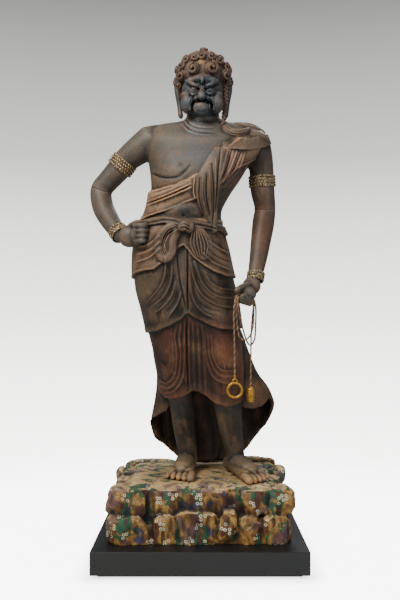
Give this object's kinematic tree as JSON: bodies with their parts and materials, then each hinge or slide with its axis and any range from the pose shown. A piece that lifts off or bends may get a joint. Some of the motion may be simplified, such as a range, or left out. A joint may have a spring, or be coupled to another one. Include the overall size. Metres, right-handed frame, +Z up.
{
  "type": "guardian deity statue on rock base",
  "caption": "Standing carved wooden guardian deity with curled hair, sash and draped skirts, one fist on the hip, the other holding a ringed cord, on a painted rock and a low plinth.",
  "frame": {"origin": "on the floor, at the centre of the plinth's underside", "axes": "+Z up along the figure's height, the figure faces -Y, and its left hand, which holds the cord, is at +X"},
  "size_m": [0.8, 0.784, 1.9122],
  "materials": {
    "painted_wood": "old worn paint on carved wood, matt",
    "painted_rock": "carved wood painted as rock, ochre, green and red-brown, matt",
    "dark_lacquer": "near-black lacquered board, satin",
    "gilt_metal": "worn gilding, satin",
    "braided_silk": "twisted tan and red-brown silk cord"
  },
  "bodies": {
    "root": {"figure": "painted_wood", "right_armlet": "gilt_metal", "left_armlet": "gilt_metal", "right_bracelet": "gilt_metal", "left_bracelet": "gilt_metal", "lasso_rope": "braided_silk", "lasso_ring": "gilt_metal", "lasso_weight": "gilt_metal", "rock_base": "painted_rock", "plinth": "dark_lacquer"}
  },
  "joints": []
}
